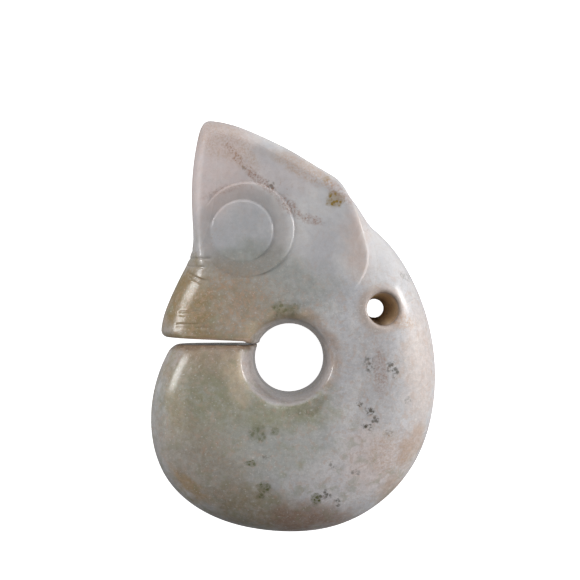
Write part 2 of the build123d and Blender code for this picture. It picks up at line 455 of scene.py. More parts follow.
def ledge(x, y, centre, radius, turns):
    """How deep a ledge round a disc is: steep at the disc, rising gently outside it."""
    away_x, away_y = x - centre[0], y - centre[1]
    out = np.hypot(away_x, away_y) - radius
    drop = smooth(-ledge_width / 2, ledge_width / 2, out)
    drop = drop * np.exp(-np.maximum(out, 0) / ledge_fade)
    turn = np.degrees(np.arctan2(away_y, away_x))
    first, last = turns
    crisp = smooth(first - ledge_ends[0], first, turn)
    crisp = crisp * (1 - smooth(last, last + ledge_ends[1], turn))
    return ledge_drop * drop * (ledge_kept + (1 - ledge_kept) * crisp)


def wrinkle_level(row, x):
    """How high a wrinkle runs at each x."""
    rising = smooth(wrinkle_bend * height, -row["end"] * height, x)
    return (row["up"] + row["rise"] * rising) * height


wrinkles = named(wrinkle_columns, wrinkle_rows)


def carving(x, y):
    """How deep the ledges round the eye and the wrinkles are cut at a place."""
    front = place(eye_place)[0] - eye_radius
    on_flank = smooth(front - eye_front_fade[0], front - eye_front_fade[1], x)
    depth = ledge(x, y, place(eye_place), eye_radius, eye_turns)
    depth = depth + ledge(x, y, place(eye_rim_place), eye_rim_radius, eye_rim_turns)
    depth = depth * on_flank
    fade = wrinkle_fade * height / 2
    for row in wrinkles:
        start, end = -row["start"] * height, -row["end"] * height
        off = (y - wrinkle_level(row, x)) / wrinkle_width
        bulge = wrinkle_bulge * np.exp(-(off / wrinkle_bulge_width)**2)
        shape = wrinkle_depth * np.exp(-off**2) - bulge
        kept = smooth(start - fade, start, x) * (1 - smooth(end - fade, end + fade, x))
        depth = depth + row["strength"] * shape * kept
    return depth


def unevenness(x, y, z):
    """How far the slow waves of the hand-ground surface stand out."""
    sway_x, sway_y = (np.sin(along / length + start) * sway for along, length, start, sway
                      in zip((y, x), sway_lengths, wave_starts, sways))
    runs = zip((x, y, x - y), wave_lengths, (sway_x, sway_y, wave_starts[2]), wave_through)
    waves = sum(np.sin(along / length + sway + z / through)
                for along, length, sway, through in runs)
    return uneven * waves / len(wave_lengths)


def neck_behind_cheek(x, y, z):
    """The lower neck, together with all that lies before the cheek's edge."""
    raised = cheek_fade_depth * (1 - smooth(*cheek_fade, y))
    low, high = (cheek_edge[0][1] * height + over for over in cheek_top_fade)
    raised = raised + cheek_top_depth * smooth(low, high, y)
    return join(neck.distance(x, y, z) - raised, cheek_side(x, y), cheek_edge_rounding)


def stone_distance(points):
    """Signed distance from each point to the surface of the stone."""
    x, y, z = points.T
    body = coil.distance(x, y, z)
    near = cheek_side(x, y) > -2 * cheek_edge_rounding
    body[near] = meet(body[near], neck_behind_cheek(*points[near].T), cheek_edge_rounding)
    body = body + carving(x, y) + unevenness(x, y, z)
    body = meet(body, -ear_groove(x, y, z), ear_groove_edge)
    body = meet(body, -dish(x, y, z), dish_edge)
    body = meet(body, -cord_hole(x, y, z), funnel_edge)
    body = meet(body, -hole_cone(x, y, z), hole_cone_edge)
    slit = np.minimum(np.minimum(y - slit_start, slit_top(x) - y), -x)
    at_mouth = smooth(mouth_fade[0] * height, mouth_fade[1] * height, -x)
    at_flank = smooth(half - slit_edge_fade[0], half - slit_edge_fade[1], np.abs(z))
    edge = np.where(y > slit_middle(x), slit_edge, slit_edge_below)
    edge = slit_edge_inside + (edge - slit_edge_inside) * at_flank
    return meet(body, slit, edge + (mouth_corner - edge) * at_mouth)


# The mesh

coarse = 1.12  # edge length of the first mesh
finest = 0.3  # edge length at the carving
long_edge = 1.6  # how many times the wanted edge length is too long
fine_reach = 1.4  # how far from the carving the fine mesh reaches
corner_reach = 1.6  # the same from the corner between slit and hole
corner_edge = 1.6 * finest
corner_turn = 24  # degrees of that corner above the line to the left
corner_rise = 0.3  # how far above the slit's lower face it lies
eye_margin = 2.0  # how far before the eye its fine mesh starts
wrinkle_margin = 0.2  # how much less the fine mesh reaches round a wrinkle
cheek_margin = 0.6  # the same along the cheek's edge, from a little above its low end
cheek_start = 2.0
funnel_margin = 0.8  # the same round the suspension hole, near the flanks only
funnel_depth = 5.0
probe = 0.02  # step for measuring slopes
least_slope = 0.2  # below this a step would run too far
tiny = 1e-9
same_place = 1e-6  # metres within which corners are one
slit_room = 1.2  # how far the slit's faces stand back in the first mesh
slit_reach = 4.0  # how far from the slit that is felt
easing = 0.5  # share of its way that a corner goes to even out the mesh


def slope_of(points, distance):
    """The direction in which the distance grows, and how fast."""
    slope = np.empty_like(points)
    for axis in range(3):
        step = np.zeros(3)
        step[axis] = probe
        slope[:, axis] = (stone_distance(points + step) - distance) / probe
    return slope


def pull_on(points, times):
    """The points moved onto the stone's surface, and its slope there."""
    for _ in range(times):
        distance = stone_distance(points)
        slope = slope_of(points, distance)
        step = (distance / np.maximum((slope**2).sum(1), least_slope))[:, None] * slope
        size = np.linalg.norm(step, axis=1, keepdims=True)
        points = points - step * np.minimum(1, coarse / np.maximum(size, tiny))
    return points, slope


def coordinates(mesh):
    """The mesh's corners in the form's own millimetres."""
    values = np.empty(len(mesh.vertices) * 3)
    mesh.vertices.foreach_get("co", values)
    return values.reshape(-1, 3) / MM - np.array(hole_centre)


def first_mesh():
    """The solid's own surface as an even mesh, with the slit held open meanwhile."""
    rough = show("rough", node.data.copy())
    points = coordinates(rough.data)
    above = points[:, 1] - slit_middle(points[:, 0])
    beside = smooth(-hole_radius / 2, hole_radius / 2, -points[:, 0])
    points[:, 1] += slit_room * beside * np.sign(above) * np.exp(-np.abs(above) / slit_reach)
    rough.data.vertices.foreach_set("co", in_metres(points).ravel())
    weld = rough.modifiers.new("weld", "WELD")
    weld.merge_threshold = same_place
    even = rough.modifiers.new("even", "REMESH")
    even.mode, even.voxel_size = "VOXEL", coarse * MM
    split = rough.modifiers.new("split", "TRIANGULATE")
    split.quad_method = "SHORTEST_DIAGONAL"
    shown = rough.evaluated_get(bpy.context.evaluated_depsgraph_get())
    mesh = shown.to_mesh()
    points = coordinates(mesh)
    corners = np.empty(len(mesh.loops), int)
    mesh.loops.foreach_get("vertex_index", corners)
    shown.to_mesh_clear()
    bpy.data.objects.remove(rough)
    return points, corners.reshape(-1, 3)


def edges_of(triangles):
    """Each edge once, and the three edges of each triangle."""
    sides = np.sort(triangles[:, [[0, 1], [1, 2], [2, 0]]].reshape(-1, 2), axis=1)
    edges, own = np.unique(sides, axis=0, return_inverse=True)
    return edges, own.reshape(-1, 3)


def refine(points, triangles, chosen):
    """Splits the chosen triangles in four, and their neighbours so that no gap opens."""
    edges, own = edges_of(triangles)
    split = np.zeros(len(edges), bool)
    split[own[chosen]] = True
    middle = np.where(split, np.cumsum(split) - 1 + len(points), -1)
    points = np.vstack([points, points[edges[split]].mean(1)])
    cut = split[own]
    count = cut.sum(1)
    first = np.where(count == 2, np.argmin(cut, 1) + 1, np.argmax(cut, 1)) % 3
    order = (first[:, None] + np.arange(3)) % 3
    a, b, c = np.take_along_axis(triangles, order, 1).T
    ab, bc, ca = np.take_along_axis(middle[own], order, 1).T
    made = [np.array((a, b, c))[:, count == 0]]
    for cuts, patterns in (
        (1, ((a, ab, c), (ab, b, c))),
        (2, ((ab, b, bc), (a, ab, c), (ab, bc, c))),
        (3, ((a, ab, ca), (ab, b, bc), (ca, bc, c), (ab, bc, ca))),
    ):
        made += [np.array(pattern)[:, count == cuts] for pattern in patterns]
    return points, np.hstack(made).T


def relax(points, triangles, normals, times):
    """Evens out the triangles along the surface."""
    edges, _ = edges_of(triangles)
    ends = np.concatenate([edges[:, 0], edges[:, 1]])
    others = np.concatenate([edges[:, 1], edges[:, 0]])
    count = np.bincount(ends, minlength=len(points))[:, None]
    for _ in range(times):
        sums = [np.bincount(ends, points[others, axis], len(points)) for axis in range(3)]
        move = np.stack(sums, 1) / count - points
        points = points + easing * (move - (move * normals).sum(1, keepdims=True) * normals)
    return points


def wanted_edge(points):
    """How long an edge may be at each point: short at the carving and the sharper edges."""
    x, y, z = points.T
    eye, rim = place(eye_place), place(eye_rim_place)
    front = eye[0] - eye_radius
    to_eye = np.abs(np.hypot(x - eye[0], y - eye[1]) - eye_radius)
    to_rim = np.abs(np.hypot(x - rim[0], y - rim[1]) - eye_rim_radius)
    near = np.where(x > front - eye_margin, np.minimum(to_eye, to_rim), height)
    for row in wrinkles:
        inside = x < (wrinkle_fade - row["end"]) * height
        wrinkle = np.abs(y - wrinkle_level(row, x)) + wrinkle_margin
        near = np.minimum(near, np.where(inside, wrinkle, height))
    margin = np.where(y > cheek_fade[0] + cheek_start, cheek_margin, height)
    near = np.minimum(near, np.abs(cheek_side(x, y)) + margin)
    hole = np.abs(cord_hole(x, y, z)) + funnel_margin
    near = np.minimum(near, np.where(np.abs(z) > half - funnel_depth, hole, height))
    corner_x, corner_y = -hole_radius * cos(radians(corner_turn)), slit_start + corner_rise
    corner = np.hypot(x - corner_x, y - corner_y)
    return np.where(near < fine_reach, finest, np.where(corner < corner_reach, corner_edge, coarse))


def build_stone():
    """The first mesh pulled onto the stone, and twice refined, evened out and pulled again."""
    points, triangles = first_mesh()
    points, _ = pull_on(points, times=3)
    for _ in range(2):
        sides = points[triangles] - points[np.roll(triangles, 1, 1)]
        longest = np.linalg.norm(sides, axis=2).max(1)
        wanted = wanted_edge(points[triangles].mean(1))
        points, triangles = refine(points, triangles, longest > wanted * long_edge)
        points, slope = pull_on(points, times=1)
        normals = slope / np.linalg.norm(slope, axis=1, keepdims=True)
        points = relax(points, triangles, normals, times=3)
        points, _ = pull_on(points, times=2)
    mesh = bpy.data.meshes.new("jade_dragon")
    mesh.from_pydata(in_metres(points), [], triangles.tolist())
    mesh.shade_smooth()
    mesh.update()
    return show("jade_dragon", mesh)


# Materials

def colour(red, green, blue):
    """A screen colour, 0 to 255, as a shader reads it."""
    shares = [channel / 255 for channel in (red, green, blue)]
    lit = [s / 12.92 if s <= 0.04045 else ((s + 0.055) / 1.055)**2.4 for s in shares]
    return (*lit, 1.0)


class Shader:
    """The nodes of one material, or of the sky, each added with what it reads."""

    def __init__(self, name, tree=None):
        if tree is None:
            self.material = bpy.data.materials.new(name)
            self.material.use_nodes = True
            tree = self.material.node_tree
        self.tree = tree
        self.tree.nodes.clear()

    def put(self, socket, value):
        if isinstance(value, bpy.types.NodeSocket):
            self.tree.links.new(value, socket)
        else:
            socket.default_value = value

    def add(self, kind, inputs, output=0, **settings):
        made = self.tree.nodes.new(kind)
        for name, value in settings.items():
            setattr(made, name, value)
        for name, value in inputs.items():
            self.put(made.inputs[name], value)
        return made.outputs[output]

    def end(self, shader, kind="ShaderNodeOutputMaterial"):
        self.tree.links.new(shader, self.tree.nodes.new(kind).inputs[0])

    def math(self, operation, first, second=0.0, third=0.0):
        return self.add("ShaderNodeMath", {0: first, 1: second, 2: third}, operation=operation)

    def times(self, first, second):
        return self.math("MULTIPLY", first, second)

    def larger(self, first, second):
        return self.math("MAXIMUM", first, second)

    def vector(self, operation, first, second=(0, 0, 0), output=0, third=(0, 0, 0), scale=1.0):
        inputs = {0: first, 1: second, 2: third, 3: scale}
        return self.add("ShaderNodeVectorMath", inputs, output, operation=operation)

    def length(self, vector):
        return self.vector("LENGTH", vector, vector, "Value")

    def ramp(self, value, low, high, to_low=0.0, to_high=1.0):
        """A soft turn from one value to the other; it holds still past low and high."""
        return self.add("ShaderNodeMapRange", {
            "Value": value, "From Min": low, "From Max": high, "To Min": to_low, "To Max": to_high},
            interpolation_type="SMOOTHSTEP", clamp=False)

    def mix(self, share, first, second):
        made = self.tree.nodes.new("ShaderNodeMix")
        made.data_type = "RGBA"
        for index, value in ((0, share), (6, first), (7, second)):
            self.put(made.inputs[index], value)
        return made.outputs[2]

    def noise(self, where, size, detail, rough=0.55, bend=0.0, output=0):
        """Noise whose lumps are about that many millimetres across."""
        return self.add("ShaderNodeTexNoise", {
            "Vector": where, "Scale": 1 / size, "Detail": detail, "Roughness": rough,
            "Distortion": bend}, output)

    def patch(self, where, row, soft=0.6, spread=1.0):
        """1 in the middle of an oval that runs through the stone, fading to 0 at its edge."""
        reach = row["wide"] * spread * height, row["tall"] * spread * height
        inside = self.add("ShaderNodeMapping", {
            "Vector": where, "Location": (row["x"] * height, row["y"] * height, 0.0),
            "Rotation": (0.0, 0.0, radians(row["turn"])), "Scale": (*reach, endless)},
            vector_type="TEXTURE")
        ball = self.add("ShaderNodeTexGradient", {"Vector": inside}, "Fac", gradient_type="SPHERICAL")
        return self.ramp(ball, 0.0, soft)


# Broad colours that run through the stone, three rows partly painted light and shade, as marked: the
# middle of each, right of and above the hole's centre, and its reach, as shares of the height; its
# turn in degrees, strength and colour
oval = ("x", "y", "wide", "tall", "turn")
zone_columns = (*oval, "strength", "colour")
zones = (
    (-0.2, 0.47, 0.18, 0.22, 0, 0.85, (218, 202, 199)),
    (-0.105, 0.29, 0.14, 0.13, 0, 0.85, (176, 177, 180)),
    (-0.1, 0.228, 0.14, 0.065, 0, 0.85, (150, 153, 146)),
    (0, 0.165, 0.16, 0.12, 0, 0.9, (158, 160, 156)),
    (0.09, 0.27, 0.09, 0.08, -20, 0.6, (186, 185, 189)),
    (-0.17, 0.112, 0.21, 0.158, 0, 0.95, (160, 145, 122)),
    (-0.25, 0.135, 0.1, 0.18, 15, 0.9, (145, 124, 80)),
    (-0.17, -0.01, 0.19, 0.07, 0, 0.9, (166, 144, 121)),
    (-0.18, -0.11, 0.2, 0.15, 0, 0.95, (152, 149, 124)),
    (-0.11, -0.21, 0.18, 0.12, 0, 0.75, (168, 169, 163)),
    (-0.2, -0.25, 0.22, 0.13, -35, 0.8, (164, 154, 138)),
    (-0.08, -0.36, 0.18, 0.08, -10, 0.8, (148, 136, 110)),
    (0.05, -0.38, 0.16, 0.06, 0, 0.85, (156, 128, 111)),
    (0, -0.135, 0.16, 0.055, 0, 0.9, (156, 155, 129)),
    (0.02, -0.22, 0.18, 0.11, 0, 0.75, (170, 171, 166)),
    (0.11, -0.29, 0.13, 0.1, 0, 0.7, (218, 213, 214)),
    (0.26, -0.02, 0.2, 0.3, 0, 0.8, (195, 192, 193)),
    (0.21, -0.23, 0.14, 0.11, 0, 0.6, (224, 216, 216)),
    (0.24, 0.24, 0.13, 0.16, 0, 0.8, (208, 206, 207)),
    (0.31, -0.02, 0.05, 0.22, 0, 0.6, (202, 185, 175)),
    (0.19, -0.24, 0.08, 0.11, -30, 0.6, (218, 203, 198)),
    (0.298, -0.202, 0.036, 0.08, -25, 0.7, (186, 160, 140)),
    (0.24, -0.313, 0.07, 0.035, 35, 0.75, (190, 166, 148)),
    (0.16, 0.27, 0.045, 0.12, 8, 0.6, (210, 188, 177)),
    (-0.02, 0.43, 0.12, 0.06, -20, 0.5, (214, 203, 202)),
    # Partly tan mottling, partly painted shade darkening the ear's back edge
    (0.02, 0.462, 0.15, 0.026, -28, 0.4, (180, 163, 153)),
    (-0.15, 0.56, 0.08, 0.024, -28, 0.25, (190, 172, 162)),
    (-0.27, -0.1, 0.05, 0.12, 10, 0.7, (160, 147, 117)),
    (-0.235, -0.305, 0.08, 0.036, -42, 0.75, (176, 148, 110)),
    # Partly olive stain, partly painted shade over the band above the hole
    (0, 0.112, 0.075, 0.024, 0, 0.8, (112, 106, 74)),
    # Partly warm stone colour, partly a painted highlight on the hole's left lip
    (-0.122, -0.044, 0.046, 0.085, 15, 0.7, (212, 194, 168)),
    (0.06, -0.112, 0.08, 0.024, 20, 0.7, (132, 128, 102)),
)
zone_soft = 0.7  # share of its reach over which a zone fades

# Smaller marks on the flank that is seen, laid out the same way, by kind
mark_columns = (*oval, "strength")
marks = {
    "pit": (
        (-0.042, 0.412, 0.016, 0.012, -40, 0.7),
        (-0.106, 0.455, 0.008, 0.008, 0, 0.6),
        (0.19, -0.011, 0.014, 0.022, 0, 0.75),
        (0.24, -0.018, 0.014, 0.014, -30, 0.8),
        (0.25, -0.032, 0.012, 0.016, 0, 0.8),
        (0.168, -0.105, 0.01, 0.008, 0, 0.8),
        (0.191, -0.124, 0.012, 0.01, 0, 0.9),
        (0.204, -0.142, 0.01, 0.01, 0, 0.8),
        (0.186, -0.158, 0.014, 0.011, 0, 1),
        (0.236, -0.174, 0.012, 0.009, 0, 0.5),
        (0.281, -0.097, 0.009, 0.009, 0, 0.5),
        (0.159, -0.268, 0.012, 0.009, 0, 0.6),
        (0.104, -0.248, 0.009, 0.009, 0, 0.6),
        (-0.052, -0.23, 0.012, 0.006, 0, 0.7),
        (0.082, -0.322, 0.02, 0.012, 0, 0.8),
        (0.116, -0.343, 0.012, 0.009, 0, 0.8),
        (0.279, 0.197, 0.012, 0.022, 60, 0.35),
    ),
    "green": (
        (-0.019, 0.122, 0.026, 0.013, 0, 0.8),
        (-0.072, -0.176, 0.026, 0.024, 0, 0.7),
        (-0.033, -0.171, 0.013, 0.01, 0, 0.7),
        (-0.09, -0.246, 0.015, 0.009, -15, 0.9),
        (-0.058, -0.303, 0.02, 0.015, 0, 1),
        (-0.067, -0.323, 0.012, 0.008, 0, 0.8),
        (0.066, -0.332, 0.014, 0.018, 0, 1),
    ),
    "ochre": (
        (0.109, 0.379, 0.024, 0.022, 0, 1),
        (0.089, 0.428, 0.011, 0.009, 0, 0.7),
    ),
    "red": (
        (-0.13, 0.489, 0.044, 0.011, -54, 0.7),
        (-0.067, 0.423, 0.064, 0.012, -41, 0.9),
        (0, 0.364, 0.044, 0.016, -41, 0.8),
        (0.055, 0.331, 0.034, 0.014, -15, 0.7),
        (0.12, 0.395, 0.05, 0.016, -45, 0.6),
        (-0.15, 0.405, 0.07, 0.01, 18, 0.4),
        (0.216, -0.03, 0.018, 0.066, 4, 0.6),
    ),
    "tan": (
        (0.041, 0.448, 0.1, 0.026, -28, 0.6),
        (-0.16, 0.52, 0.09, 0.05, -20, 0.5),
        (-0.105, 0.48, 0.03, 0.05, 40, 0.5),
        (0.27, 0.09, 0.03, 0.024, -20, 0.8),
        (0.24, -0.23, 0.06, 0.07, 30, 0.5),
    ),
}
mark_reach = (-2.0, 8.0)  # heights over the middle between which a mark comes to show
mark_spread = 1.12  # how much larger each is laid, as fraying takes some away
mark_soft = 0.5  # share of its reach over which it fades
mark_least = (0.55, 0.5)  # share of an ochre and a green mark's colour between its crumbs

# Where the polish is worn dull, laid out the same way
dull_columns = (*oval, "rough")
dull_places = (
    (0.31, -0.02, 0.11, 0.24, 0, 0.5),
    (-0.214, 0.41, 0.055, 0.225, -6, 0.55),
    (0.02, 0.48, 0.26, 0.03, -28, 0.38),
    (0.18, 0.225, 0.04, 0.11, 0, 0.6),
)
jaw_place = dict(zip(oval, (-0.15, 0.125, 0.18, 0.12, 0)))
endless = 1e4  # reach of a patch through the stone, in millimetres

# Noise that breaks up a colour or the polish: the size of its lumps in millimetres, how many
# finer sizes it carries, how rough and how bent it is, the two values between which it turns
# from one share to the other, and those shares, where they aren't 0 and 1
grains = {
    "clouds": (13, 5, 0.6, 0.6, 0.36, 0.66),
    "zones": (3, 4, 0.7, 0.0, 0.3, 0.62, 0.68, 1.0),
    "ring": (7, 3, 0.55, 0.0, 0.35, 0.65, 0.1, 0.8),
    "mottling": (1.7, 4, 0.7, 0.0, 0.32, 0.68, -0.1, 0.08),
    "grit": (0.5, 2, 0.6, 0.0, 0.3, 0.7, -0.05, 0.05),
    "warm": (2.4, 4, 0.75, 0.0, 0.5, 0.64, 0.0, 0.4),
    "speckled": (1.5, 3, 0.75, 0.0, 0.5, 0.62, 0.0, 0.5),
    "mossy": (5.0, 3, 0.55, 0.0, 0.52, 0.68),
    "flecks": (0.9, 2, 0.6, 0.0, 0.62, 0.7, 0.0, 0.35),
    "rust": (1.1, 2, 0.7, 0.5, 0.6, 0.7),
    "rusty areas": (17, 3, 0.55, 0.0, 0.52, 0.64, 0.03, 0.4),
    "crumbs": (0.9, 3, 0.7, 0.0, 0.5, 0.6, 0.0, 0.8),
    "dots": (0.8, 4, 0.8, 0.0, 0.4, 0.66, 0.08, 0.95),
    "hidden pits": (11, 3, 0.7, 0.0, 0.66, 0.74),
    "polish": (4, 4, 0.55, 0.0, 0.3, 0.7, 0.16, 0.25),
}
relief_noise = (2.6, 4.0, 0.6)  # size, detail, rough
relief_height = 0.03  # millimetres

# How far a place is shifted, in millimetres, by lumps of what size, so that edges fray
frays = {"zones": (13, 9), "moss": (6, 4), "marks": (3.4, 2.2), "pits": (0.8, 0.7)}
pit_spacing = 1.5

# Soft turns along a way in millimetres: where each starts and ends, and the two values it goes
# between, where they aren't 0 and 1
fades = {
    # from the central hole's centre, right of it, and above it
    "ring": (21.5, 17.0), "ring, right": (-4, 12), "ring, down": (-6, -14),
    "polish, hole": (21.0, 18.5, 1.0, 0.65),
    # from the centre of the ground cone, and above the hole's centre
    "wall": (17.2, 15.8), "wall, narrowed": (0, 12, 0.0, 1.6),
    "wall, middle": (-13, -4), "wall, top": (0, 8),
    # right of the hole's centre, off the slit's middle, and above the hole's centre
    "slit": (-hole_radius, -hole_radius - 2), "jaw": (3.6, 1.6), "cut": (1.9, 1.2),
    "belly side, painted shade": (2.4, 4.0), "belly, end": (6.4, 5.6),
    # from the suspension hole's mouth, and over the middle, first as the dish is tilted
    "rim": (10.5, 7.0), "drilled": (8.6, 7.8), "drilled, deep": (18.3, 17.3), "funnel": (18.5, 13.0),
    # from the eye's centre
    "eye ring": (10.8, 12.4), "eye ring, end": (18.5, 15.5),
    "polish, eye": (9.0, 10.5), "polish, past eye": (21.0, 19.5),
    # above the hole's centre, and right and above it together
    "grain": (44, 14, 0.35, 1.0), "moss": (22, -10, 0.0, 0.4),
    # from a pit's centre, as a share of the pits' spacing
    "pits": (0.52, 0.34),
}
wall_shift = (-hole_cone_shift[0], -hole_cone_shift[1], 0)
slit_colour_rise = 0.4  # how far its colours lie over the slit's middle at the hole
mouth_lean = 0.6  # share of the funnel's lean at which its colour is centred
# Where the funnel's painted shade sets in, and how strong it grows
funnel_shade = (11, 7, 0.0, 0.9)  # a turn right of the mouth, at the central hole's level
funnel_shade_slant = 0.6  # how much further left it lies for each millimetre up
dish_slope = (0.216, 0.124)  # drop of the dish's plane for each millimetre right and up
wall_strength = 0.9
belly_side_strength = 0.7
pit_roughness = 0.6
eye_polish = -0.4  # how much less rough the ledge round the eye is
funnel_shine = (0.0, 1.0, 0.5, 0.0)  # from the flank's shine to none in the funnel

# Screen colours that others are mixed from, and what is laid over the ground: how strongly,
# and in what colour
tones = {
    "dark cloud": (194, 194, 198), "light cloud": (215, 213, 213),
    "ring left": (204, 187, 158), "ring right": (176, 154, 138), "ring below": (134, 133, 108),
    # The wall tones are painted shade below and painted light beside and above
    "wall below, painted shade": (176, 170, 170), "wall beside, painted light": (214, 206, 204), "wall above, painted light": (236, 226, 218),
    # The deep funnel tone is painted light, the dark funnel tone painted shade, over brown dirt
    "funnel": (204, 180, 158), "deep funnel, painted light": (232, 200, 158), "dark funnel, painted shade": (74, 56, 42),
}
stains_and_painted_light = {
    # "cut" is painted light on the slit's faces and "belly side" painted shade on the belly's edge;
    # the rest are stains and marks of the stone
    "jaw": (0.5, (168, 142, 100)), "cut": (1, (204, 180, 158)), "belly side, painted shade": (1, (116, 94, 76)),
    "rim": (0.6, (186, 166, 152)), "eye ring": (0.28, (140, 126, 116)),
    "warm": (1, (190, 163, 145)), "speckled": (1, (194, 158, 134)),
    "mossy": (1, (150, 152, 128)), "flecks": (1, (230, 227, 222)), "rust": (1, (176, 140, 116)),
    "pit": (1, (88, 82, 70)), "green": (1, (104, 106, 70)), "ochre": (1, (146, 120, 58)),
    "red": (1, (152, 112, 92)), "tan": (1, (182, 146, 112)),
}


class Jade(Shader):
    """Waxy pale stone. Each step lays its colours over the ground that is there."""

    def __init__(self):
        super().__init__("jade")
        inside = self.add("ShaderNodeTexCoord", {}, "Object")
        self.where = self.add("ShaderNodeMapping", {
            "Vector": inside, "Location": tuple(-hole_centre), "Scale": (1 / MM, 1 / MM, 1 / MM)})
        parts = self.tree.nodes.new("ShaderNodeSeparateXYZ")
        self.put(parts.inputs[0], self.where)
        self.x, self.y, self.z = parts.outputs
        self.up = self.math("ABSOLUTE", self.z)
        self.ground = self.blend(self.grain("clouds"), "dark cloud", "light cloud")
        self.torn = self.frayed("zones")
        self.lay_zones()
        self.across = self.vector("MULTIPLY", self.where, (1.0, 1.0, 0.0))
        self.from_hole = self.length(self.across)
        self.colour_central_hole()
        self.colour_slit()
        self.drilled = self.colour_cord_hole()
        self.from_eye = self.length(self.vector("SUBTRACT", self.across, (*place(eye_place), 0.0)))
        self.lay(self.times(self.fade(self.from_eye, "eye ring"),
                            self.fade(self.from_eye, "eye ring, end")), "eye ring")
        self.lay_grain()
        self.pitted = self.lay_marks()
        self.add_surface()

    def fade(self, value, name):
        return self.ramp(value, *fades[name])

    def grain(self, name, where=None):
        """Noise read through its own soft turn."""
        size, detail, rough, bend, *turn = grains[name]
        return self.ramp(self.noise(where or self.where, size, detail, rough, bend), *turn)

    def frayed(self, name):
        """The place, shifted by noise so that edges come out ragged."""
        far, size = frays[name]
        shift = self.vector("MULTIPLY_ADD", self.noise(self.where, size, detail=4.0, output=1),
                            (far, far, far), third=(-far / 2, -far / 2, -far / 2))
        return self.add("ShaderNodeMapping", {"Vector": self.where, "Location": shift})

    def blend(self, share, first, second):
        """Two tones mixed; each is a name, or a colour that is mixed already."""
        first, second = (colour(*tones[tone]) if isinstance(tone, str) else tone
                         for tone in (first, second))
        return self.mix(share, first, second)

    def cover(self, share, tint):
        self.ground = self.mix(share, self.ground, tint)

    def lay(self, share, name):
        strength, values = stains_and_painted_light[name]
        if strength < 1:
            share = self.times(share, strength)
        self.cover(share, colour(*values))

    def lay_zones(self):
        patchy = self.grain("zones")
        for row in named(zone_columns, zones):
            share = self.patch(self.torn, row, zone_soft)
            share = self.times(self.times(share, row["strength"]), patchy)
            self.cover(share, colour(*row["colour"]))

    def colour_central_hole(self):
        """A stained ring round the hole, and the wall with the cone that widens it, in painted shade
        low down and painted light at its sides and top.
        """
        ring = self.times(self.fade(self.from_hole, "ring"), self.grain("ring"))
        tint = self.blend(self.fade(self.x, "ring, right"), "ring left", "ring right")
        tint = self.blend(self.fade(self.y, "ring, down"), tint, "ring below")
        self.cover(ring, tint)
        shifted = self.vector("ADD", self.across, wall_shift)
        from_cone = self.math("ADD", self.length(shifted), self.fade(self.y, "wall, narrowed"))
        wall = self.fade(from_cone, "wall")
        # Painted shade on the lower wall, painted light on the wall beside and above it
        shade = self.blend(self.fade(self.y, "wall, middle"), "wall below, painted shade", "wall beside, painted light")
        shade = self.blend(self.fade(self.y, "wall, top"), shade, "wall above, painted light")
        self.cover(self.times(wall, wall_strength), shade)

    def colour_slit(self):
        """The warm edges of the slit, its cut faces lightened as painted light, and a dark line of
        painted shade along the belly's edge at the slit.
        """
        level = slit_start + slit_gap / 2 + slit_colour_rise
        off_middle = self.math("ABSOLUTE", self.math("SUBTRACT", self.y, level))
        beside = self.fade(self.x, "slit")
        self.lay(self.times(self.fade(off_middle, "jaw"), beside), "jaw")
        # The cut faces are lightened as painted light in the slit
        self.lay(self.times(self.fade(off_middle, "cut"), beside), "cut")
        # Painted shade along the belly's rounded edge at the slit
        belly = self.times(self.fade(self.y, "belly side, painted shade"), self.fade(self.y, "belly, end"))
        belly = self.times(belly, self.times(beside, belly_side_strength))
        self.lay(belly, "belly side, painted shade")

    def colour_cord_hole(self):
        """The rim and the brown, drilled funnel of the suspension hole: painted light lightens it
        deeper in, and painted shade darkens its lower left.
        """
        mouth_x, mouth_y = place(cord_hole_place) + (funnel_lean * mouth_lean, 0)
        from_mouth = self.length(self.vector("SUBTRACT", self.across, (mouth_x, mouth_y, 0.0)))
        self.lay(self.fade(from_mouth, "rim"), "rim")
        # Brown dirt in the funnel, lightened deeper in as painted light
        funnel = self.blend(self.fade(self.up, "funnel"), "funnel", "deep funnel, painted light")
        # Painted shade over the funnel's lower left
        slanting = self.math("MULTIPLY_ADD", self.y, funnel_shade_slant, self.x)
        start, end, *values = funnel_shade
        shaded = self.ramp(slanting, mouth_x + start, mouth_x + end, *values)
        funnel = self.blend(shaded, funnel, "dark funnel, painted shade")
        tilted = self.vector("DOT_PRODUCT", self.where, (*dish_slope, 0.0), "Value")
        dish_x = mouth_x + funnel_lean * (1 - mouth_lean)
        level = dish_slope[0] * dish_x + dish_slope[1] * mouth_y
        tilted = self.math("SUBTRACT", self.math("ADD", self.up, tilted), level)
        drilled = self.times(self.fade(from_mouth, "drilled"), self.fade(tilted, "drilled, deep"))
        self.cover(drilled, funnel)
        return drilled

    def lay_grain(self):
        """Mottling, moss, pale flecks and rusty dots, mostly on the snout and the body."""
        mottling = self.grain("mottling")
        grit = self.grain("grit")
        grainy = self.fade(self.y, "grain")
        shade = self.math("MULTIPLY_ADD", self.math("ADD", mottling, grit), grainy, third=1.0)
        self.ground = self.vector("SCALE", self.ground, scale=shade)
        self.lay(self.times(self.grain("warm", self.torn), grainy), "warm")
        self.lay(self.times(self.patch(self.where, jaw_place), self.grain("speckled")), "speckled")
        mossy = self.grain("mossy", self.frayed("moss"))
        slanting = self.math("ADD", self.x, self.y)
        self.lay(self.times(mossy, self.fade(slanting, "moss")), "mossy")
        self.lay(self.times(self.grain("flecks"), grainy), "flecks")
        self.lay(self.times(self.grain("rust"), self.grain("rusty areas")), "rust")

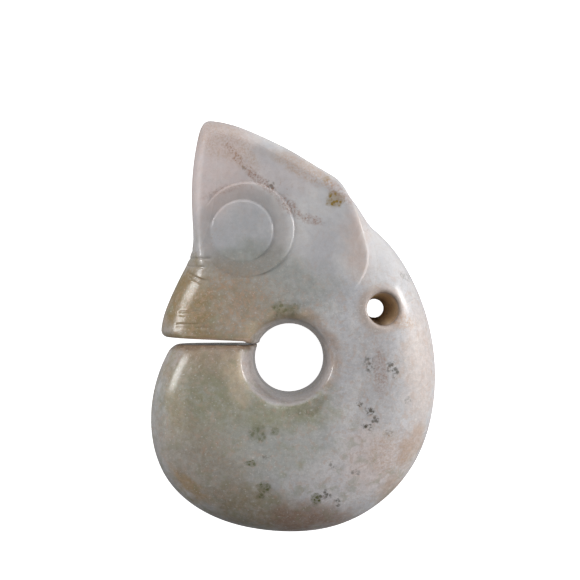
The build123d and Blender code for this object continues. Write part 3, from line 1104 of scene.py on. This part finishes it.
    def lay_marks(self):
        """The marks on the flank that is seen, and pits like them elsewhere; returns the pits."""
        ragged = self.frayed("marks")
        spots = self.add("ShaderNodeTexVoronoi", {
            "Vector": self.frayed("pits"), "Scale": 1 / pit_spacing, "Randomness": 1.0}, "Distance")
        crumbs = self.larger(self.fade(spots, "pits"), self.grain("crumbs"))
        dots = self.grain("dots")
        solid, soft = (self.larger(crumbs, least) for least in mark_least)
        textures = {"pit": crumbs, "green": soft, "ochre": solid, "red": dots, "tan": dots}
        seen = self.ramp(self.z, *mark_reach)
        for kind, rows in marks.items():
            shares = (self.mark(ragged, row) for row in named(mark_columns, rows))
            share = self.times(self.times(reduce(self.larger, shares), seen), textures[kind])
            if kind == "pit":
                hidden = self.times(self.grain("hidden pits"), crumbs)
                unseen = self.ramp(self.z, *reversed(mark_reach))
                share = pitted = self.larger(share, self.times(hidden, unseen))
            self.lay(share, kind)
        return pitted

    def mark(self, ragged, row):
        return self.times(self.patch(ragged, row, mark_soft, mark_spread), row["strength"])

    def add_surface(self):
        """Fine relief, the polish with its dull places, and light that goes a little way in."""
        relief = self.times(self.noise(self.where, *relief_noise), relief_height)
        bump = self.add("ShaderNodeBump", {"Height": relief, "Distance": MM, "Strength": 1.0})
        polish = self.times(self.grain("polish"), self.fade(self.from_hole, "polish, hole"))
        near_eye = self.times(self.fade(self.from_eye, "polish, eye"),
                              self.fade(self.from_eye, "polish, past eye"))
        polish = self.times(polish, self.math("MULTIPLY_ADD", near_eye, eye_polish, third=1.0))
        for row in named(dull_columns, dull_places):
            polish = self.larger(polish, self.times(self.patch(self.where, row), row["rough"]))
        roughness = self.larger(polish, self.times(self.pitted, pit_roughness))
        shine = self.ramp(self.drilled, *funnel_shine)
        base = self.add("ShaderNodeBsdfPrincipled", {
            "Base Color": self.ground, "Roughness": roughness, "Normal": bump, "IOR": 1.6,
            "Specular IOR Level": shine, "Subsurface Weight": 0.35,
            "Subsurface Radius": (1.0, 0.9, 0.75), "Subsurface Scale": 0.002})
        self.end(base)


def floor_material():
    made = Shader("floor")
    base = made.add("ShaderNodeBsdfPrincipled", {
        "Base Color": colour(245, 245, 245), "Roughness": 0.6,
        "Emission Color": (1.0, 1.0, 1.0, 1.0), "Emission Strength": 0.95})
    made.end(base)
    return made.material


# Surroundings

camera_at = Vector((-1.2, 13.7, 0)) * MM  # straight above this point
camera_distance = 0.7  # above the middle of the thickness
view_width = 0.2177  # what the picture spans there
sensor = 36.0

lights = (
    # name, place, size across and along in metres, power in watts
    ("left", (-0.72, 0.2, 0.13), (0.34, 0.24), 1.8),
    ("left_fill", (-0.72, 0.02, 0.3), (0.6, 0.8), 1.2),
    ("right", (0.73, 0.16, 0.1), (0.42, 0.16), 2.0),
    ("right_fill", (0.75, 0.03, 0.28), (0.6, 0.8), 1.9),
    ("top", (-0.05, 0.75, 0.42), (1.0, 0.6), 1.5),
)
sky = (0.04, 0.68)  # strength of the surroundings at their darkest and lightest
sky_lightest = (0.7, 0.65, 0.2)  # the way to its lightest side


def add_camera():
    data = bpy.data.cameras.new("camera")
    data.sensor_width = sensor
    data.lens = sensor / view_width * camera_distance
    data.clip_start, data.clip_end = 0.01, 20
    camera = show("camera", data)
    camera.location = camera_at + Vector((0, 0, hole_centre.z * MM + camera_distance))
    bpy.context.scene.camera = camera


def add_floor():
    side = 6.0
    mesh = bpy.data.meshes.new("floor")
    mesh.from_pydata([(-side, -side, 0), (side, -side, 0), (side, side, 0), (-side, side, 0)],
                     [], [(0, 1, 2, 3)])
    mesh.materials.append(floor_material())
    floor = show("floor", mesh)
    floor.visible_diffuse = floor.visible_glossy = floor.visible_shadow = False


def add_lights():
    for name, at, (wide, tall), power in lights:
        data = bpy.data.lights.new(name, "AREA")
        data.shape, data.size, data.size_y, data.energy = "RECTANGLE", wide, tall, power
        light = show(name, data)
        light.location = at
        light.rotation_euler = (-Vector(at)).to_track_quat("-Z", "Y").to_euler()


def add_sky():
    world = bpy.data.worlds.new("studio")
    world.use_nodes = True
    made = Shader("studio", world.node_tree)
    direction = made.add("ShaderNodeTexCoord", {}, "Generated")
    facing = made.vector("DOT_PRODUCT", direction, sky_lightest, "Value")
    light = made.add("ShaderNodeBackground", {
        "Color": (1.0, 1.0, 1.0, 1.0), "Strength": made.ramp(facing, -1.0, 1.0, *sky)})
    made.end(light, "ShaderNodeOutputWorld")
    bpy.context.scene.world = world
    bpy.context.scene.view_settings.view_transform = "Standard"


add_camera()
add_floor()
add_lights()
add_sky()
stone = build_stone()
stone.data.materials.append(Jade().material)
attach(stone, "root")
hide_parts("pig_dragon")
